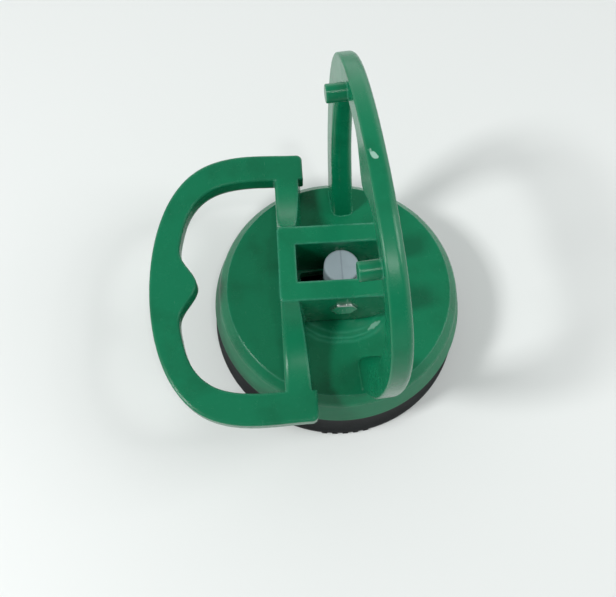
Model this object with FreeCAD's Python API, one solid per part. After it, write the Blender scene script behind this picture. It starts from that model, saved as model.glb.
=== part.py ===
import FreeCAD, Part
import os
from math import cos, pi, radians, sin, sqrt
from FreeCAD import Vector

# Hand suction cup with a cam lever, in millimetres. Z is up through the post, and the
# sealing lip lies on Z = 0. The fixed handle faces -X, where the open lever lies.

# base disc
rim_radius = 27.0
rim_height = 10.2
side_slope = 3.4
disc_wall = 2.6
top_step = 0.2
shoulder_in = 1.5
shoulder_drop = 2.1
shoulder_round = 0.7
shoulder_cut = 0.49
rim_turn_in = 0.3
rim_land = 0.8
inside_land = 1.0
side_bow = 0.95
roof_step = 0.6
slot_reach = 7.8
slot_corner = 0.8
post_slack = 0.45

# post, its seat in the rubber and the pivot through it
post_radius = 3.5
post_cap = 3.3
post_edge = 0.5
post_flange_radius = 6.0
post_flange = 1.5
flange_room = 2.35
insert_radius = 7.0
insert_plate = 1.6
stud_radius = 2.0
stud_length = 6.0
bolt_radius = 1.25
run_gap = 0.06
hex_flats = 4.6
hex_thick = 1.7
hex_stand_out = 0.45

# lever cam: the post rises by cam_rise while the lever closes through close_angle
cam_low = 7.3
cam_rise = 2.8
cam_gap = 0.3
close_angle = 90.0
open_twist = 4.6

# ears and cross bar of the lever
ear_thick = 3.8
ear_top = 5.8
nose_back = 1.6
nose_reach = 2.6
nose_rise = 0.6
cam_steps = 6
bar_left = 12.4
bar_thick = 3.5
web_foot = 6.2
web_spread = 0.052
web_draft = 0.1
bar_edge = 0.8
bar_gap = 0.4
ramp_margin = 1.0

# outline shared by both handles: reach is measured from the pivot
handle_reach = 38.9
handle_half = 29.4
handle_straight = 14.0
outline_degrees = (0, 12, 26, 42, 58, 72, 81, 86)
band_width = 6.2
tip_thin = 0.3
finger_notch = 3.7
notch_power = 1.3
notch_half = 8.6
band_depth = 5.2
back_wish = 2.4
face_radius = 0.35
face_drop = 2.4
corner_reach = 6.2
corner_radius = 1.3
corner_pinch = 0.2
fillet_room = 0.6
flat_room = 0.3

# fixed handle
fixed_face = 1.3
foot_depth = 4.5
top_depth = 3.2
loop_rise = 1.2
inner_radius = 1.7
back_room = 0.5
foot_width = 6.6
foot_overhang = -0.8
foot_splay = (0.9, 0.3)
bow_along = (8.0, 12.0)
bow_across = (3.2, 4.2)
peg_radius = 1.5
peg_root = 1.0
peg_edge = 0.2
peg_turn = 54.4
stop_gap = 0.3

# rubber cup
rubber_gap = 0.15
lip_flare = 1.0
lip_land = 1.2
lip_shelf = (5.5, 1.6)
lip_heel = 0.4
lip_side = 0.7
lip_neck = 2.6
skirt_wall = 1.4
skirt_step = 0.8
hollow_rim = 4.0
hollow_depth = 5.2
membrane = 2.3
boss_edge = 2.5
boss_wall = 1.6

tolerance = 0.01

cup_radius = rim_radius + lip_flare
top_radius = rim_radius - side_slope
insert_low = hollow_depth + boss_wall
insert_high = insert_low + insert_plate
boss_radius = insert_radius + boss_edge
boss_top = insert_high + boss_wall
post_foot = boss_top + rubber_gap
plate_under = post_foot + post_flange + cam_rise + flange_room
top_height = plate_under + disc_wall
pin_height = top_height + cam_low + cam_gap
post_top = pin_height + post_cap
lever_face = pin_height - face_drop
closed_height = pin_height + cam_rise
loop_height = closed_height + loop_rise
slot_half = post_radius + post_slack
ear_inner = slot_half
ear_outer = ear_inner + ear_thick
inner_half = handle_half - band_width
inner_reach = handle_reach - band_width + tip_thin
ramp_end = inner_half - ramp_margin
foot_outer = top_radius + foot_overhang
foot_inner = foot_outer - foot_width
back_radius = min(back_wish, band_width / 2 - fillet_room, band_depth - face_radius - flat_room)
loop_back = min(back_wish, band_width / 2 - fillet_room, top_depth - inner_radius - flat_room)
outer_powers = (2 / 3.3, 1.0)
inner_powers = (2 / 3.4, 2 / 3)
peg_tip = face_drop - stop_gap


def save(shape, node):
    """Write one clean solid under its node name."""
    shape = shape.removeSplitter()
    print(node, shape.ShapeType, len(shape.Solids), shape.isValid(), round(shape.Volume, 1))
    shape.exportStep("parts/" + node + ".step")


def spline(points):
    """Smooth curve through the points."""
    curve = Part.BSplineCurve()
    curve.interpolate(points)
    return curve.toShape()


def revolve(points, bulges=()):
    """Solid of revolution about Z from (radius, height) corners.

    bulges maps the number of a corner to a point that the edge leaving it arcs through.
    """
    corners = [Vector(r, 0, z) for r, z in points + points[:1]]
    edges = []
    for number, (start, end) in enumerate(zip(corners, corners[1:])):
        if number in bulges:
            r, z = bulges[number]
            edges.append(Part.Arc(start, Vector(r, 0, z), end).toShape())
        else:
            edges.append(Part.makeLine(start, end))
    return Part.Face(Part.Wire(edges)).revolve(Vector(0, 0, 0), Vector(0, 0, 1), 360)


def hexagon(flats, low, high):
    """Hexagonal bar along Y, with a flat on top, between two Y values."""
    corner = flats / sqrt(3)
    ring = [Vector(corner * cos(radians(60 * k)), low, corner * sin(radians(60 * k))) for k in range(7)]
    return Part.Face(Part.makePolygon(ring)).extrude(Vector(0, high - low, 0))


def rounded(solid, radius, pick):
    """Fillet the edges that pick accepts."""
    edges = [edge for edge in solid.Edges if pick(edge)]
    return solid.makeFillet(radius, edges)


def half_outline(reach, half, notch, powers):
    """Quarter of a handle outline, from its straight side to its tip: (along, across)."""
    points = []
    for degree in outline_degrees:
        turn = radians(degree)
        along = handle_straight + (reach - handle_straight) * sin(turn) ** powers[0]
        across = half * cos(turn) ** powers[1]
        points.append((along, across))
    points.append((reach, 0.0))
    shaped = []
    for along, across in points:
        if across < notch_half:
            along -= notch * ((1 + cos(pi * across / notch_half)) / 2) ** notch_power
        shaped.append((along, across))
    return shaped


def outer_outline(start):
    """Mirrored outer edge of a handle that begins with the given start points."""
    side = start + half_outline(handle_reach, handle_half, 0.0, outer_powers)
    return side + [(along, -across) for along, across in reversed(side[:-1])]


def inner_outline(start):
    """Mirrored inner edge of a handle, with its finger notch."""
    side = start + half_outline(inner_reach, inner_half, finger_notch, inner_powers)
    return side + [(along, -across) for along, across in reversed(side[:-1])]


def band(outer, inner, place):
    """Flat face of a handle band between its outer and inner edges."""
    outer_points = [place(along, across) for along, across in outer]
    inner_points = [place(along, across) for along, across in reversed(inner)]
    edges = [
        spline(outer_points),
        Part.makeLine(outer_points[-1], inner_points[0]),
        spline(inner_points),
        Part.makeLine(inner_points[-1], outer_points[0]),
    ]
    return Part.Face(Part.Wire(edges))


def long_edges(axis, low, high, longest=1000.0):
    """Pick the handle's long curved edges that lie between two values of X or Z."""
    def pick(edge):
        box = edge.BoundBox
        least, most = (box.XMin, box.XMax) if axis == "X" else (box.ZMin, box.ZMax)
        return least > low - tolerance and most < high + tolerance and handle_half < edge.Length < longest
    return pick


def cam_outline():
    """Cam edge from straight down to the front: its support distance grows evenly with angle."""
    growth = cam_rise / radians(close_angle)
    points = []
    for step in range(cam_steps + 1):
        turn = radians(close_angle) * step / cam_steps
        support = cam_low + growth * turn
        down = Vector(sin(turn), 0, -cos(turn))
        along = Vector(cos(turn), 0, sin(turn))
        points.append(down * support + along * growth)
    return points


def ear(low, high):
    """One cam ear between two Y values, reaching forward from the cross bar."""
    pivot = Vector(0, low, pin_height)
    cam = [point + pivot for point in cam_outline()]
    front = cam[-1]
    top = Vector(cam_low - nose_back, low, pin_height + ear_top)
    bend = Part.BezierCurve()
    bend.setPoles([front, front + Vector(0, 0, ear_top * nose_rise), top + Vector(nose_reach, 0, 0), top])
    back = -bar_left + bar_thick / 2
    rear_top = Vector(back, low, top.z)
    rear_low = Vector(back, low, cam[0].z)
    wire = Part.Wire([
        spline(cam),
        bend.toShape(),
        Part.makeLine(top, rear_top),
        Part.makeLine(rear_top, rear_low),
        Part.makeLine(rear_low, cam[0]),
    ])
    return Part.Face(wire).extrude(Vector(0, high - low, 0))


def cross_bar():
    """Bar that joins the ears to the arms: ramped down to the arms, and wider and drafted there."""
    low = top_height + bar_gap
    high = pin_height + ear_top
    end = handle_half - band_width / 2
    slope = (ramp_end - ear_outer) / 2
    ramps = []
    for side in (-1, 1):
        ramp = Part.BezierCurve()
        ramp.setPoles([
            Vector(-bar_left, side * ear_outer, high),
            Vector(-bar_left, side * (ear_outer + 0.25 * slope), lever_face + 0.5 * (high - lever_face)),
            Vector(-bar_left, side * (ear_outer + slope), lever_face),
            Vector(-bar_left, side * ramp_end, lever_face),
        ])
        ramps.append(ramp)
    under = [Vector(-bar_left, y, z) for y, z in (
        (ramp_end, lever_face), (end, lever_face), (end, low),
        (-end, low), (-end, lever_face), (-ramp_end, lever_face))]
    edges = [ramps[0].toShape(), Part.makeLine(ramps[0].StartPoint, ramps[1].StartPoint), ramps[1].toShape()]
    edges += [Part.makeLine(a, b) for a, b in zip(under, under[1:])]
    bar = Part.Face(Part.Wire(edges)).extrude(Vector(web_foot, 0, 0))

    def ramp_edge(edge):
        box = edge.BoundBox
        return box.XMax < tolerance - bar_left and box.ZLength > 1.0 and box.YLength > 1.0

    bar = rounded(bar, bar_edge, ramp_edge)
    middle = Part.makeBox(web_foot, 2 * ear_inner, 2 * high, Vector(bar_thick - bar_left, -ear_inner, 0))
    return bar.cut([middle, web_cutter(1, high), web_cutter(-1, high)])


def web_cutter(side, high):
    """Cutter for one side of the cross bar, whose face towards the disc spreads out and down."""
    def face_x(y, z):
        return bar_thick - bar_left + web_spread * (y - ear_outer) + web_draft * (high - z)

    near, far, top = ear_outer, handle_half, high + 1
    outline = ((near, 0), (far, 0), (far, top), (near, top))
    corners = [Vector(face_x(y, z), side * y, z) for y, z in outline]
    return Part.Face(Part.makePolygon(corners + corners[:1])).extrude(Vector(2 * web_foot, 0, 0))


def make_lever():
    """One-piece lever in its own line, open towards -X."""
    def place(along, across):
        return Vector(-along, across, lever_face)

    def end_corner(edge):
        box = edge.BoundBox
        outside = abs(box.Center.y) > inner_half + 1
        return outside and box.ZLength > band_depth / 2 and box.XMin > -corner_reach - corner_pinch / 2

    outer = outer_outline([(corner_reach, handle_half - corner_pinch)])
    inner = inner_outline([(corner_reach, inner_half)])
    back = lever_face - band_depth
    ring = band(outer, inner, place).extrude(Vector(0, 0, -band_depth))
    ring = rounded(ring, corner_radius, end_corner)
    ring = rounded(ring, back_radius, long_edges("Z", back, back))
    ring = rounded(ring, face_radius, long_edges("Z", lever_face, lever_face))
    lever = ring.fuse([cross_bar(), ear(ear_inner, ear_outer), ear(-ear_outer, -ear_inner)])
    lever = lever.removeSplitter()
    reach = ear_outer + 1.0
    bore = Part.makeCylinder(bolt_radius + run_gap, 2 * reach, Vector(0, -reach, pin_height), Vector(0, 1, 0))
    deep = hex_thick - hex_stand_out
    near_pocket = hexagon(hex_flats + 2 * run_gap, -reach, -ear_outer + deep)
    far_pocket = hexagon(hex_flats + 2 * run_gap, ear_outer - deep, reach)
    for pocket in (near_pocket, far_pocket):
        pocket.translate(Vector(0, 0, pin_height))
    return lever.cut([bore, near_pocket, far_pocket])


def make_bolt():
    """Pivot bolt: hexagon head on -Y, shank through both ears and the post."""
    head = hexagon(hex_flats, -ear_outer - hex_stand_out, -ear_outer - hex_stand_out + hex_thick)
    head.translate(Vector(0, 0, pin_height))
    start = -ear_outer
    shank = Part.makeCylinder(bolt_radius, 2 * ear_outer + hex_stand_out,
                              Vector(0, start, pin_height), Vector(0, 1, 0))
    return head.fuse(shank)


def make_nut():
    """Hexagon nut on the +Y end of the bolt."""
    low = ear_outer + hex_stand_out - hex_thick
    nut = hexagon(hex_flats, low, low + hex_thick)
    nut.translate(Vector(0, 0, pin_height))
    bore = Part.makeCylinder(bolt_radius + run_gap / 2, 3 * hex_thick,
                             Vector(0, low - hex_thick, pin_height), Vector(0, 1, 0))
    return nut.cut(bore)


def make_post():
    """Round post with a foot flange, a cross bore for the bolt and a blind bore for the stud."""
    post = Part.makeCylinder(post_radius, post_top - post_foot, Vector(0, 0, post_foot))
    post = rounded(post, post_edge, lambda edge: abs(edge.BoundBox.ZMin - post_top) < tolerance)
    post = post.fuse(Part.makeCylinder(post_flange_radius, post_flange, Vector(0, 0, post_foot)))
    stud_bore = Part.makeCylinder(stud_radius + run_gap, stud_length + 2 * rubber_gap,
                                  Vector(0, 0, post_foot))
    bolt_bore = Part.makeCylinder(bolt_radius + run_gap, 4 * post_radius,
                                  Vector(0, -2 * post_radius, pin_height), Vector(0, 1, 0))
    return post.removeSplitter().cut([stud_bore, bolt_bore])


def make_insert():
    """Plate moulded into the rubber, with the stud that holds the post."""
    plate = Part.makeCylinder(insert_radius, insert_plate, Vector(0, 0, insert_low))
    stud = Part.makeCylinder(stud_radius, post_foot + stud_length - insert_low, Vector(0, 0, insert_low))
    return plate.fuse(stud)


def make_cup():
    """Rubber cup: sealing lip, skirt under the base rim, membrane, and the boss round the insert."""
    seat = rim_height - rubber_gap
    skirt_out = rim_radius - rim_turn_in
    skirt_in = rim_radius - disc_wall - skirt_wall
    lip_in, lip_top = lip_shelf
    roof = hollow_depth + membrane
    heel = cup_radius - lip_heel
    body = revolve([
        (0, hollow_depth), (boss_radius + hollow_rim, hollow_depth), (cup_radius - lip_in, lip_top),
        (heel - lip_land, 0), (heel, 0), (cup_radius, lip_side), (cup_radius - lip_heel / 2, lip_neck),
        (skirt_out, seat), (skirt_in, seat), (skirt_in - skirt_step, roof),
        (boss_radius + skirt_step, roof), (boss_radius, boss_top), (0, boss_top),
    ])
    pocket = Part.makeCylinder(insert_radius + rubber_gap, insert_plate + 2 * rubber_gap,
                               Vector(0, 0, insert_low - rubber_gap))
    throat = Part.makeCylinder(stud_radius + rubber_gap, boss_top, Vector(0, 0, insert_low))
    return body.cut([pocket, throat])


def make_disc():
    """Hollow base disc: flat top, sloped shoulder, steep side and an open underside."""
    shoulder = rim_radius - shoulder_in
    shoulder_top = top_height - shoulder_drop
    cut_back = shoulder_cut
    side_mid = (rim_radius - side_bow, (top_height + rim_height + rim_land) / 2)
    inner_top = top_radius - disc_wall - roof_step
    outer = [
        (0, top_height),
        (top_radius, top_height),
        (top_radius + top_step / 2, top_height - top_step),
        (shoulder - cut_back, shoulder_top + cut_back),
        (shoulder + 0.2 * cut_back, shoulder_top - shoulder_round),
        (rim_radius, rim_height + rim_land),
        (rim_radius - rim_turn_in, rim_height),
    ]
    inner = [
        (rim_radius - disc_wall, rim_height),
        (rim_radius - disc_wall, rim_height + inside_land),
        (inner_top, plate_under),
        (0, plate_under),
    ]
    bulges = {
        3: (shoulder - 0.25 * cut_back, shoulder_top - 0.1 * cut_back),
        5: (rim_radius - 0.05, rim_height + 0.3),
        8: (side_mid[0] - disc_wall, side_mid[1] - 0.6),
    }
    return revolve(outer + inner, bulges)


def make_slot():
    """Cutter for the slot that the post stands in: a round end about the post, open towards -X."""
    deep = 3 * disc_wall
    low = plate_under - disc_wall
    round_end = Part.makeCylinder(slot_half, deep, Vector(0, 0, low))
    straight = Part.makeBox(slot_reach, 2 * slot_half, deep, Vector(-slot_reach, -slot_half, low))
    straight = rounded(straight, slot_corner, lambda edge: abs(edge.BoundBox.XMax + slot_reach) < tolerance
                       and edge.BoundBox.ZLength > deep / 2)
    return round_end.fuse(straight).removeSplitter()


def make_base():
    """Base disc and upright handle in one piece, with two stop pegs for the closed lever."""
    foot = plate_under + disc_wall * 0.3 - loop_height
    knee = top_height - loop_height

    def place(along, across):
        return Vector(fixed_face, across, loop_height + along)

    outer = outer_outline([
        (foot, foot_outer - foot_splay[0]), (knee, foot_outer),
        (knee + bow_along[0], foot_outer + bow_across[0])])
    inner = inner_outline([
        (foot, foot_inner - foot_splay[1]), (knee, foot_inner),
        (knee + bow_along[1], foot_inner + bow_across[1])])
    loop = band(outer, inner, place).extrude(Vector(2 * foot_depth, 0, 0))
    summit = loop_height + handle_reach
    above = summit + band_width
    far = fixed_face + 3 * foot_depth
    behind = [
        Vector(fixed_face + foot_depth, 0, top_height), Vector(fixed_face + top_depth, 0, summit),
        Vector(fixed_face + top_depth, 0, above), Vector(far, 0, above),
        Vector(far, 0, 0), Vector(fixed_face + foot_depth, 0, 0),
    ]
    wedge = Part.Face(Part.makePolygon(behind + behind[:1])).extrude(Vector(0, 4 * handle_half, 0))
    wedge.translate(Vector(0, -2 * handle_half, 0))
    loop = loop.cut(wedge)
    outer_length = max(edge.Length for edge in loop.Edges)
    back = (fixed_face + top_depth - back_room, fixed_face + foot_depth + back_room)
    loop = rounded(loop, loop_back, long_edges("X", *back))
    loop = rounded(loop, inner_radius, long_edges("X", fixed_face, fixed_face, 0.97 * outer_length))
    loop = rounded(loop, face_radius, long_edges("X", fixed_face, fixed_face))
    base = make_disc().fuse(loop)
    middle = handle_reach - band_width / 2
    turn = radians(peg_turn)
    peg_along = handle_straight + (middle - handle_straight) * sin(turn) ** outer_powers[0]
    peg_across = (handle_half - band_width / 2) * cos(turn)
    for side in (-1, 1):
        peg = Part.makeCylinder(peg_radius, fixed_face + peg_tip + peg_root,
                                Vector(-peg_tip, side * peg_across, loop_height + peg_along), Vector(1, 0, 0))
        peg = rounded(peg, peg_edge, lambda edge: abs(edge.BoundBox.XMax + peg_tip) < tolerance)
        base = base.fuse(peg)
    return base.removeSplitter().cut(make_slot())


def open_turn(shape):
    """Turn a lever or post piece by the play it has about Z when open."""
    turned = shape.copy()
    turned.rotate(Vector(0, 0, 0), Vector(0, 0, 1), -open_twist)
    return turned


os.makedirs("parts", exist_ok=True)
save(make_base(), "base_body")
save(make_cup(), "suction_cup")
save(make_insert(), "cup_insert")
save(open_turn(make_post()), "pull_post")
save(open_turn(make_lever()), "lever_handle")
save(open_turn(make_bolt()), "pivot_bolt")
save(open_turn(make_nut()), "pivot_nut")
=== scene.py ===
from math import cos, radians, sin

import bpy
from mathutils import Matrix, Vector


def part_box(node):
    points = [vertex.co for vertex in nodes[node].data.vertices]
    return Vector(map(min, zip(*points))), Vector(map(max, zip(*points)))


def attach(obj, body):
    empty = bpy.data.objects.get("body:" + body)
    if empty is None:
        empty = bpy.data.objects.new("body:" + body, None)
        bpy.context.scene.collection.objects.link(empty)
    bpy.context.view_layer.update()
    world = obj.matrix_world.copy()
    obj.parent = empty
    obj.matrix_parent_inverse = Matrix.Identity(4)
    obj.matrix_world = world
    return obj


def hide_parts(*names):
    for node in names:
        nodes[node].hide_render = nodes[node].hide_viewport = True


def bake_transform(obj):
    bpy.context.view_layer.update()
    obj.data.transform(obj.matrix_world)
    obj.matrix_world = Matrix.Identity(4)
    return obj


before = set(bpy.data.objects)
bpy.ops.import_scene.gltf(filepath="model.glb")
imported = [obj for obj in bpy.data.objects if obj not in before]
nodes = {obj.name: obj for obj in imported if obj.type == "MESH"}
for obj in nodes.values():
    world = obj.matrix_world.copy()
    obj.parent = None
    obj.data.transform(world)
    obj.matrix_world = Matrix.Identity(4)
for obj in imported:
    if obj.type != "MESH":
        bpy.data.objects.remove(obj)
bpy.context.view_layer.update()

mm = 0.001


class Wire:
    def __init__(self, end):
        self.end = end

    def sum(self, operation, *values):
        node = self.end.id_data.nodes.new("ShaderNodeMath")
        node.operation = operation
        for slot, value in zip(node.inputs, values):
            plug(slot, value)
        return Wire(node.outputs[0])

    def __add__(self, other):
        return self.sum("ADD", self, other)

    def __radd__(self, other):
        return self.sum("ADD", other, self)

    def __sub__(self, other):
        return self.sum("SUBTRACT", self, other)

    def __rsub__(self, other):
        return self.sum("SUBTRACT", other, self)

    def __mul__(self, other):
        return self.sum("MULTIPLY", self, other)

    def __rmul__(self, other):
        return self.sum("MULTIPLY", other, self)

    def __truediv__(self, other):
        return self.sum("DIVIDE", self, other)

    def __abs__(self):
        return self.sum("ABSOLUTE", self)


def plug(slot, value):
    if isinstance(value, Wire):
        slot.id_data.links.new(value.end, slot)
    else:
        slot.default_value = value


class Finish:
    def __init__(self, name, **fixed):
        self.material = bpy.data.materials.new(name)
        self.material.use_nodes = True
        self.shader = self.material.node_tree.nodes["Principled BSDF"]
        for socket, value in fixed.items():  # constants sit on the shader itself
            self.shader.inputs[socket.replace("_", " ")].default_value = value

    def add(self, kind, settings, inputs, output=0):
        node = self.material.node_tree.nodes.new(kind)
        for name, value in settings.items():
            if name == "stops":
                ramp = node.color_ramp.elements
                while len(ramp) < len(value):
                    ramp.new(0.5)
                for stop, (place, tone) in zip(ramp, value):
                    stop.position = place
                    stop.color = tone if hasattr(tone, "__len__") else (tone, tone, tone, 1)
            else:
                setattr(node, name, value)
        for name, value in inputs.items():
            plug(node.inputs[name], value)
        return Wire(node.outputs[output])

    def place(self):
        return self.add("ShaderNodeTexCoord", {}, {}, "Object")

    def axes(self, spot, turn=0.0, stretch=(1, 1, 1)):  # x, y and z measured from a spot, turned about Z
        inputs = {"Vector": self.place(), "Location": spot, "Rotation": (0, 0, turn), "Scale": stretch}
        moved = self.add("ShaderNodeMapping", {"vector_type": "TEXTURE"}, inputs)
        return [self.add("ShaderNodeSeparateXYZ", {}, {"Vector": moved}, axis) for axis in "XYZ"]

    def noise(self, size, detail=3.0, rough=0.5, stretch=(1, 1, 1)):  # grains of about this size
        moved = self.add("ShaderNodeMapping", {}, {"Vector": self.place(), "Scale": stretch})
        return self.add("ShaderNodeTexNoise", {},
                        {"Vector": moved, "Scale": 1 / size, "Detail": detail, "Roughness": rough}, "Fac")

    def fade(self, value, low, high, first=0.0, last=1.0):
        return self.add("ShaderNodeMapRange", {"interpolation_type": "SMOOTHSTEP"},
                        {"Value": value, "From Min": low, "From Max": high, "To Min": first, "To Max": last})

    def mix(self, factor, first, second, blend="MIX"):
        return self.add("ShaderNodeMix", {"data_type": "RGBA", "blend_type": blend},
                        {0: factor, 6: first, 7: second}, 2)

    def bump(self, height, strength, depth, normal=None):
        inputs = {"Height": height, "Strength": strength, "Distance": depth}
        if normal:
            inputs["Normal"] = normal
        return self.add("ShaderNodeBump", {}, inputs)

    def wear(self, **links):
        for socket, wire in links.items():
            plug(self.shader.inputs[socket.replace("_", " ")], wire)
        return self.material

    def ball(self, spot, size, stretch=(1, 1, 1), turn=0.0):  # distance from a spot over a size
        x, y, z = self.axes(spot, turn, stretch)
        square = x * x + y * y + z * z
        return square.sum("SQRT", square) / size


green = {  # colours, pattern sizes, then shine and how strongly each mark shows
    "deep": (0.0010, 0.130, 0.055, 1), "body": (0.0018, 0.170, 0.075, 1), "pale": (0.012, 0.215, 0.108, 1),
    # edge: a lighter green along edges, partly wear and partly a painted highlight; the flow lines use it
    # too
    "edge": (0.060, 0.39, 0.25, 1), "scuff": (0.30, 0.52, 0.42, 1),
    "cloud": 9 * mm, "speck": 0.9 * mm, "grain": 0.22 * mm, "scratch": 1.0 * mm, "patch": 5 * mm,
    "smear": 3 * mm, "ripple": 1.6 * mm, "ragged": 0.7 * mm, "wander": 4 * mm,
    "rough": 0.19, "gloss": 0.36, "paleShare": 0.25, "scratchShare": 0.12, "edgeShare": 0.6,
    "bump": 0.30, "relief": 0.05 * mm}


def greenPlastic(name, edge, scuffsAndHighlight=(), flowAndHighlight=(), calm=(), dull=()):
    finish = Finish(name, Specular_IOR_Level=green["gloss"])
    cloud = finish.noise(green["cloud"], 4, 0.55)
    speck = finish.noise(green["speck"], 2, 0.6)
    grain = finish.noise(green["grain"], 2, 0.6)
    tone = finish.mix(finish.fade(cloud, 0.3, 0.72), green["deep"], green["body"])
    tone = finish.mix(finish.fade(cloud, 0.2, 0.62), tone, green["body"])
    tone = finish.mix(finish.fade(speck, 0.52, 0.85) * green["paleShare"], tone, green["pale"])
    scratch = finish.noise(green["scratch"], 2, 0.5, (5, 0.6, 0.6))
    scratches = finish.fade(scratch, 0.71, 0.76) * finish.fade(finish.noise(green["patch"]), 0.52, 0.64)
    tone = finish.mix(scratches * green["scratchShare"], tone, green["scuff"])
    soft, turnMask = edgeRound(finish, edge)
    for spot, size in calm:  # where the edges are too soft to catch the light
        turnMask = turnMask * finish.fade(finish.ball(spot, size), 0.8, 1.2)
    # edge colour: partly wear along edges, partly a painted highlight where edges catch the light
    wornAndHighlit = turnMask * finish.fade(speck, 0.2, 0.7, 0.4, 1.0)
    tone = finish.mix(wornAndHighlit * green["edgeShare"], tone, green["edge"])
    rough = green["rough"] + finish.noise(green["smear"], 3) * 0.10 + grain * 0.04 + scratches * 0.15
    height = grain * 0.35 + finish.noise(green["ripple"], 2) * 0.65
    for spot, size, stretch, turn, strength in scuffsAndHighlight:  # pale scuffs; on the disc one of them is a painted highlight patch
        ragged = finish.ball(spot, size, stretch, turn) + (finish.noise(green["ragged"], 2) - 0.5) * 1.5
        scuffAndHighlightMask = finish.fade(ragged, 0.75, 1.0, 1.0, 0.0)
        tone = finish.mix(scuffAndHighlightMask * strength, tone, green["scuff"])
        rough = rough + scuffAndHighlightMask * 0.2
        height = height - scuffAndHighlightMask * 1.2
    for low, high, more in dull:  # a matt band below a height
        z = finish.axes((0, 0, 0))[2]
        rough = rough + finish.fade(z, low, high, more, 0.0)
    for spot, radius, width, strength in flowAndHighlight:  # curved ridges left by moulding, raised in the bump; their lighter colour is a painted highlight
        away = finish.ball(spot, 1.0) + (finish.noise(green["wander"], 2) - 0.5) * 0.9 * mm
        line = finish.fade(abs(away - radius), 0.0, width, 1.0, 0.0)
        z = finish.axes(spot)[2]
        line = line * finish.fade(abs(z), 0.1 * mm, 0.5 * mm, 1.0, 0.0)
        line = line * finish.fade(finish.noise(green["patch"], 2), 0.35, 0.6, 0.3, 1.0)
        height = height + line * 1.5
        tone = finish.mix(line * strength, tone, green["edge"])
    normal = finish.bump(height, green["bump"], green["relief"], soft)
    return finish.wear(Base_Color=tone, Roughness=rough, Normal=normal)


def edgeRound(finish, reach):  # a softened normal, and a mask of where the surface turns within the reach
    soft = finish.add("ShaderNodeBevel", {"samples": 6}, {"Radius": reach})
    true = finish.add("ShaderNodeNewGeometry", {}, {}, "Normal")
    same = finish.add("ShaderNodeVectorMath", {"operation": "DOT_PRODUCT"}, {0: soft, 1: true}, "Value")
    return soft, finish.fade(same, 0.80, 0.985, 1.0, 0.0)


post = {
    "tone": (0.27, 0.335, 0.365, 1), "shade": (0.22, 0.27, 0.30, 1), "seam": (0.14, 0.17, 0.20, 1),
    "smudge": (0.20, 0.23, 0.25, 1), "line": 0.16 * mm, "turn": radians(-4.6), "cloud": 4 * mm,
    "grain": 0.15 * mm, "smear": 2.2 * mm, "seamShare": 0.45, "smudgeShare": 0.18, "rough": 0.46,
    "gloss": 0.45, "bump": 0.5, "relief": 0.05 * mm}


def greyPlastic(name):
    finish = Finish(name, Specular_IOR_Level=post["gloss"])
    cloud = finish.noise(post["cloud"], 3)
    grain = finish.noise(post["grain"], 2, 0.6)
    x = finish.axes((0, 0, 0), post["turn"])[0]
    seam = finish.fade(abs(x), post["line"] * 0.5, post["line"] * 1.3, 1.0, 0.0)
    tone = finish.mix(finish.fade(cloud, 0.3, 0.7), post["shade"], post["tone"])
    tone = finish.mix(finish.fade(cloud, 0.1, 0.5), tone, post["tone"])
    tone = finish.mix(seam * post["seamShare"], tone, post["seam"])
    smudge = finish.fade(finish.noise(post["smear"], 4, 0.6), 0.55, 0.8)
    tone = finish.mix(smudge * post["smudgeShare"], tone, post["smudge"])
    height = grain * 0.5 - seam * 1.2 + cloud * 0.4
    rough = post["rough"] + grain * 0.12 + cloud * 0.08
    normal = finish.bump(height, post["bump"], post["relief"])
    return finish.wear(Base_Color=tone, Roughness=rough, Normal=normal)


metal = {
    "dark": (0.66, 0.68, 0.67, 1), "bright": (0.90, 0.92, 0.91, 1), "stain": (0.30, 0.28, 0.25, 1),
    "brush": 0.35 * mm, "cloud": 1.4 * mm, "spot": 0.5 * mm, "edge": 0.6 * mm, "stainShare": 0.4,
    "rough": 0.16, "bump": 0.35, "relief": 0.05 * mm}


def steel(name):
    finish = Finish(name, Metallic=1.0)
    lines = finish.noise(metal["brush"], 3, 0.6, (5, 0.5, 5))
    cloud = finish.noise(metal["cloud"], 3)
    tone = finish.mix(cloud, metal["dark"], metal["bright"])
    spots = finish.fade(finish.noise(metal["spot"], 2), 0.66, 0.75)
    tone = finish.mix(spots * metal["stainShare"], tone, metal["stain"])
    soft = edgeRound(finish, metal["edge"])[0]
    rough = metal["rough"] + lines * 0.14 + spots * 0.2
    height = lines * 0.6 + cloud * 2.0
    normal = finish.bump(height, metal["bump"], metal["relief"], soft)
    return finish.wear(Base_Color=tone, Roughness=rough, Normal=normal)


rubberLook = {
    "black": (0.004, 0.005, 0.006, 1), "bloom": (0.012, 0.015, 0.016, 1), "dust": (0.16, 0.17, 0.17, 1),
    "cloud": 6 * mm, "grain": 0.2 * mm, "speck": 0.45 * mm, "dustShare": 0.4, "rough": 0.42, "gloss": 0.25,
    "sheen": 0.03, "sheenRough": 0.45, "bump": 0.4, "relief": 0.06 * mm}


def rubber(name):
    finish = Finish(name, Specular_IOR_Level=rubberLook["gloss"], Sheen_Weight=rubberLook["sheen"],
                    Sheen_Roughness=rubberLook["sheenRough"])
    cloud = finish.noise(rubberLook["cloud"], 4, 0.6)
    grain = finish.noise(rubberLook["grain"], 3, 0.65)
    dust = finish.fade(finish.noise(rubberLook["speck"], 2, 0.7), 0.68, 0.76)
    tone = finish.mix(finish.fade(cloud, 0.35, 0.75), rubberLook["black"], rubberLook["bloom"])
    tone = finish.mix(dust * rubberLook["dustShare"], tone, rubberLook["dust"])
    rough = rubberLook["rough"] + grain * 0.12 + cloud * 0.12 + dust * 0.1
    height = grain * 0.6 + cloud * 0.6
    normal = finish.bump(height, rubberLook["bump"], rubberLook["relief"])
    return finish.wear(Base_Color=tone, Roughness=rough, Normal=normal)


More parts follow.
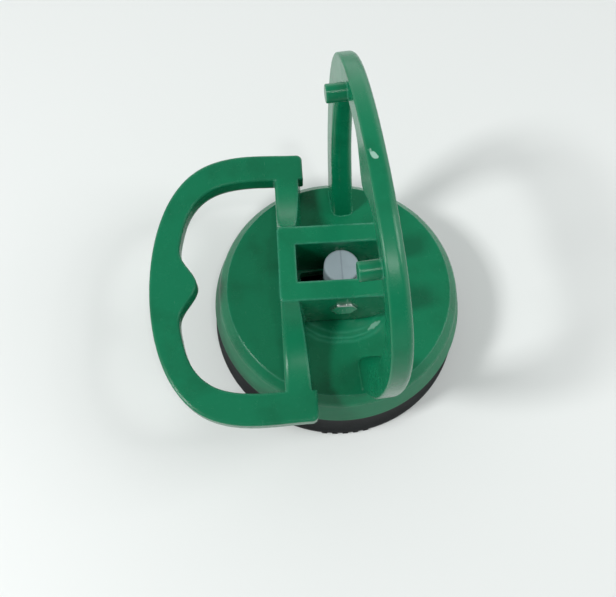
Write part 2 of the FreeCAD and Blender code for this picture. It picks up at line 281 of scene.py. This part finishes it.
def deselectAll():
    if bpy.context.object and bpy.context.object.mode != "OBJECT":
        bpy.ops.object.mode_set(mode="OBJECT")
    bpy.ops.object.select_all(action="DESELECT")


def select(piece):
    deselectAll()
    piece.select_set(True)
    bpy.context.view_layer.objects.active = piece


def settle(piece, name, angle=35):  # moves the object's place into its mesh, names it and smooths it
    select(piece)
    piece.name = piece.data.name = name
    bpy.ops.object.transform_apply(location=True, rotation=True, scale=True)
    bpy.ops.object.shade_smooth_by_angle(angle=radians(angle))
    return piece


def turned(profile, steps, closed):  # a circle drawn out ring by ring through (radius, height)
    deselectAll()
    bpy.ops.mesh.primitive_circle_add(vertices=steps, radius=profile[0][0], location=(0, 0, profile[0][1]),
                                      fill_type="NOTHING" if closed else "NGON")
    bpy.ops.object.mode_set(mode="EDIT")
    bpy.ops.mesh.select_all(action="SELECT")
    if not closed:
        bpy.ops.mesh.select_mode(type="EDGE")
    for (r, z), (nextR, nextZ) in zip(profile, profile[1:]):
        bpy.ops.mesh.extrude_edges_move(TRANSFORM_OT_translate={"value": (0, 0, nextZ - z)})
        bpy.ops.transform.resize(value=(nextR / r, nextR / r, 1), center_override=(0, 0, nextZ))
    if closed:
        bpy.ops.mesh.select_all(action="SELECT")
        bpy.ops.mesh.remove_doubles(threshold=0.00001)
    else:
        bpy.ops.mesh.edge_face_add()
        bpy.ops.mesh.select_all(action="SELECT")
    bpy.ops.mesh.normals_make_consistent(inside=False)
    bpy.ops.object.mode_set(mode="OBJECT")
    return bpy.context.object


viewpoint = {"lens": 39.74, "sensor": 36, "azimuth": -9.79, "elevation": 69.73, "roll": 1.72,
             "place": (-15.26 * mm, -50.76 * mm, 153.42 * mm), "nearest": 5 * mm}


def addCamera():
    turn, tilt, roll = (radians(viewpoint[key]) for key in ("azimuth", "elevation", "roll"))
    back = Vector((sin(turn) * cos(tilt), -cos(turn) * cos(tilt), sin(tilt)))
    side = Vector((cos(turn), sin(turn), 0))
    up = back.cross(side)
    right = side * cos(roll) + up * sin(roll)
    camera = bpy.data.objects.new("camera", bpy.data.cameras.new("camera"))
    bpy.context.scene.collection.objects.link(camera)
    camera.data.sensor_width = viewpoint["sensor"]
    camera.data.lens = viewpoint["lens"]
    camera.data.clip_start = viewpoint["nearest"]
    facing = Matrix((right, back.cross(right), back)).transposed().to_4x4()
    camera.matrix_world = Matrix.Translation(viewpoint["place"]) @ facing
    bpy.context.scene.camera = camera


lamps = {  # place, size, watts
    "left": ((-0.375, -0.07, 0.465), 0.10, 1.85),
    "right": ((0.38, -0.02, 0.46), 0.15, 0.75),
    "top": ((0.070, -0.165, 0.56), 0.035, 0.28)}
lampAim = (0, 0, 0.02)


def addLamp(name, place, size, power):
    lamp = bpy.data.objects.new(name, bpy.data.lights.new(name, "AREA"))
    bpy.context.scene.collection.objects.link(lamp)
    lamp.data.energy = power
    lamp.data.size = size
    lamp.location = place
    lamp.rotation_euler = (Vector(lampAim) - lamp.location).to_track_quat("-Z", "Y").to_euler()


table = {"side": 3.0, "tone": (0.805, 0.827, 0.817, 1), "rough": 0.55}


def addTable():
    deselectAll()
    bpy.ops.mesh.primitive_plane_add(size=table["side"], location=(0, 0, 0))
    top = bpy.context.object
    top.name = "table"
    finish = Finish("table", Base_Color=table["tone"], Roughness=table["rough"])
    top.data.materials.append(finish.material)


room = {"wall": 1.68, "ceiling": 0.32, "front": 0.40, "left": 0.6, "tint": (0.97, 1.0, 0.995, 1)}


def addRoom():  # bright walls at table height, dim overhead and in front
    sky = bpy.context.scene.world or bpy.data.worlds.new("room")
    bpy.context.scene.world = sky
    sky.use_nodes = True
    wiring = sky.node_tree
    backdrop = wiring.nodes["Background"]
    direction = wiring.nodes.new("ShaderNodeTexCoord")
    split = wiring.nodes.new("ShaderNodeSeparateXYZ")
    wiring.links.new(direction.outputs["Generated"], split.inputs[0])

    def fall(along, low, high, first, last):
        node = wiring.nodes.new("ShaderNodeMapRange")
        node.interpolation_type = "SMOOTHSTEP"
        plug(node.inputs["Value"], Wire(split.outputs[along]))
        for socket, value in zip(("From Min", "From Max", "To Min", "To Max"), (low, high, first, last)):
            node.inputs[socket].default_value = value
        return Wire(node.outputs[0])

    strength = fall("Z", 0.15, 0.75, room["wall"], room["ceiling"])
    strength = strength * fall("Y", -0.75, 0.05, room["front"], 1.0)
    strength = strength * fall("X", -0.95, -0.25, room["left"], 1.0)
    backdrop.inputs["Color"].default_value = room["tint"]
    plug(backdrop.inputs["Strength"], strength)


addCamera()
addTable()
for name, (place, size, power) in lamps.items():
    addLamp(name + "Lamp", place, size, power)
addRoom()
bpy.context.scene.view_settings.view_transform = "Standard"
print("camera, table and lamps placed")


low, high = (corner * 1000 for corner in map(Vector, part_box("suction_cup")))  # in mm
black = rubber("blackRubber")
cup = {  # mm
    "outer": high.x, "top": high.z, "steps": 240, "smoothTo": 50,
    "under": [(15.0, 4.35), (18.5, 3.05)],  # radius, height
    # lip and wall: distance in from the outer edge, height
    "lip": [(5.5, 1.6), (3.6, 0.85), (3.2, 0.95), (2.6, 0.45), (2.2, 0.50), (1.6, 0.05), (0.5, 0.0),
            (0.15, 0.2), (0.0, 0.6), (0.04, 0.95), (0.20, 1.25), (0.50, 1.6)],
    "wall": [(0.95, 2.3), (1.45, 3.2), (1.95, 4.4), (2.20, 5.6), (2.30, 7.4), (2.32, 9.3)],
    "wallTop": 2.45, "seatTop": 23.2,
    "seat": [(23.0, 9.7), (22.4, 7.7), (22.0, 7.2), (15.0, 6.9)]}


def makeSkirt():  # lip, side wall and seat of the cup, which stay with the disc
    outer, top = cup["outer"], cup["top"]
    outside = [(outer - inward, z) for inward, z in cup["lip"] + cup["wall"]]
    profile = cup["under"] + outside + [(outer - cup["wallTop"], top), (cup["seatTop"], top)]
    profile = profile + cup["seat"] + cup["under"][:1]
    skirt = turned([(r * mm, z * mm) for r, z in profile], cup["steps"], True)
    skirt.data.materials.append(black)
    return settle(skirt, "rubberSkirt", cup["smoothTo"])


skirt = makeSkirt()
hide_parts("suction_cup")
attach(skirt, "base")


membraneShape = {  # radius and height in mm
    "steps": 120, "underside": [(6.0, 5.25), (11.0, 5.1), (13.2, 4.82), (14.96, 4.38)],
    "topside": [(14.96, 6.85), (12.4, 7.5), (10.3, 7.6), (9.8, 8.2), (9.5, 9.7), (9.2, 10.0)],
    "pocket": [(2.15, 10.0), (2.15, 8.55), (7.15, 8.55), (7.15, 6.65), (3.0, 6.65)]}


def makeMembrane():  # thin middle of the cup, with the boss that holds the insert
    profile = membraneShape["underside"] + membraneShape["topside"] + membraneShape["pocket"]
    middle = turned([(r * mm, z * mm) for r, z in profile], membraneShape["steps"], False)
    middle.data.materials.append(black)
    return settle(middle, "rubberMembrane", cup["smoothTo"])


membrane = makeMembrane()
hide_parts("suction_cup")
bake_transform(membrane)


gripRidge = {  # angles in degrees, the rest in mm
    "count": 5, "arc": 19.0, "middle": -94, "width": 1.3, "depth": 0.75, "height": 0.72, "inward": 0.22,
    "up": 0.55, "edge": 0.16, "edgeSteps": 3}


def makeRidges():  # short grip ridges on the lip, where a finger peels it up
    ridgeSize = tuple(gripRidge[side] * mm for side in ("depth", "width", "height"))
    place = ((cup["outer"] - gripRidge["inward"]) * mm, 0, gripRidge["up"] * mm)
    made = []
    for number in range(gripRidge["count"]):
        along = number / (gripRidge["count"] - 1) - 0.5
        angle = radians(gripRidge["middle"] + gripRidge["arc"] * along)
        deselectAll()
        bpy.ops.mesh.primitive_cube_add(size=1, location=place, scale=ridgeSize)
        ridge = bpy.context.object
        bpy.ops.object.transform_apply(location=True, scale=True)
        ridge.data.transform(Matrix.Rotation(angle, 4, "Z"))
        bpy.ops.object.mode_set(mode="EDIT")
        bpy.ops.mesh.select_all(action="SELECT")
        bpy.ops.mesh.bevel(offset=gripRidge["edge"] * mm, segments=gripRidge["edgeSteps"], affect="EDGES")
        bpy.ops.object.mode_set(mode="OBJECT")
        made.append(ridge)
    deselectAll()
    for ridge in made:
        ridge.select_set(True)
    bpy.context.view_layer.objects.active = made[0]
    bpy.ops.object.join()
    made[0].data.materials.append(black)
    return settle(made[0], "lipRidges", cup["smoothTo"])


ridges = makeRidges()
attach(ridges, "base")
print("rubber cup made")


def dress(node, material):
    body = nodes[node]
    body.data.materials.clear()
    body.data.materials.append(material)


discMarks = {
    "edge": 0.5 * mm,
    # chips: place, size, stretch, turn and strength; the second is a painted highlight patch, not a chip
    "scuffsAndHighlight": [((2.3 * mm, 0, 69.9 * mm), 0.85 * mm, (0.55, 1.1, 1.0), radians(25), 0.9),
              # a painted highlight patch on the disc top beside the ear's end
              ((5.95 * mm, -9.7 * mm, 19.4 * mm), 0.9 * mm, (1.7, 0.6, 1.0), radians(32), 0.5)],
    # flow ridges, painted lighter as a painted highlight: middle, radius, width and strength
    "flowAndHighlight": [((0, 0, 19.4 * mm), 10.3 * mm, 0.5 * mm, 0.30), ((0, 0, 19.4 * mm), 11.6 * mm, 0.4 * mm, 0.34),
             ((0, 0, 19.4 * mm), 12.5 * mm, 0.6 * mm, 0.22)],
    "calm": [((1.3 * mm, -19 * mm, 26 * mm), 9 * mm)],  # place and size
    "dull": [(16.6 * mm, 17.3 * mm, 0.32)]}  # where it starts to fade, where it ends, added roughness
leverEdge = 0.9 * mm

dress("base_body", greenPlastic("baseGreen", **discMarks))
dress("lever_handle", greenPlastic("leverGreen", leverEdge))
dress("pull_post", greyPlastic("postGrey"))
dress("cup_insert", steel("insertSteel"))
bolt = steel("boltSteel")
dress("pivot_bolt", bolt)
dress("pivot_nut", bolt)
print("finishes applied")
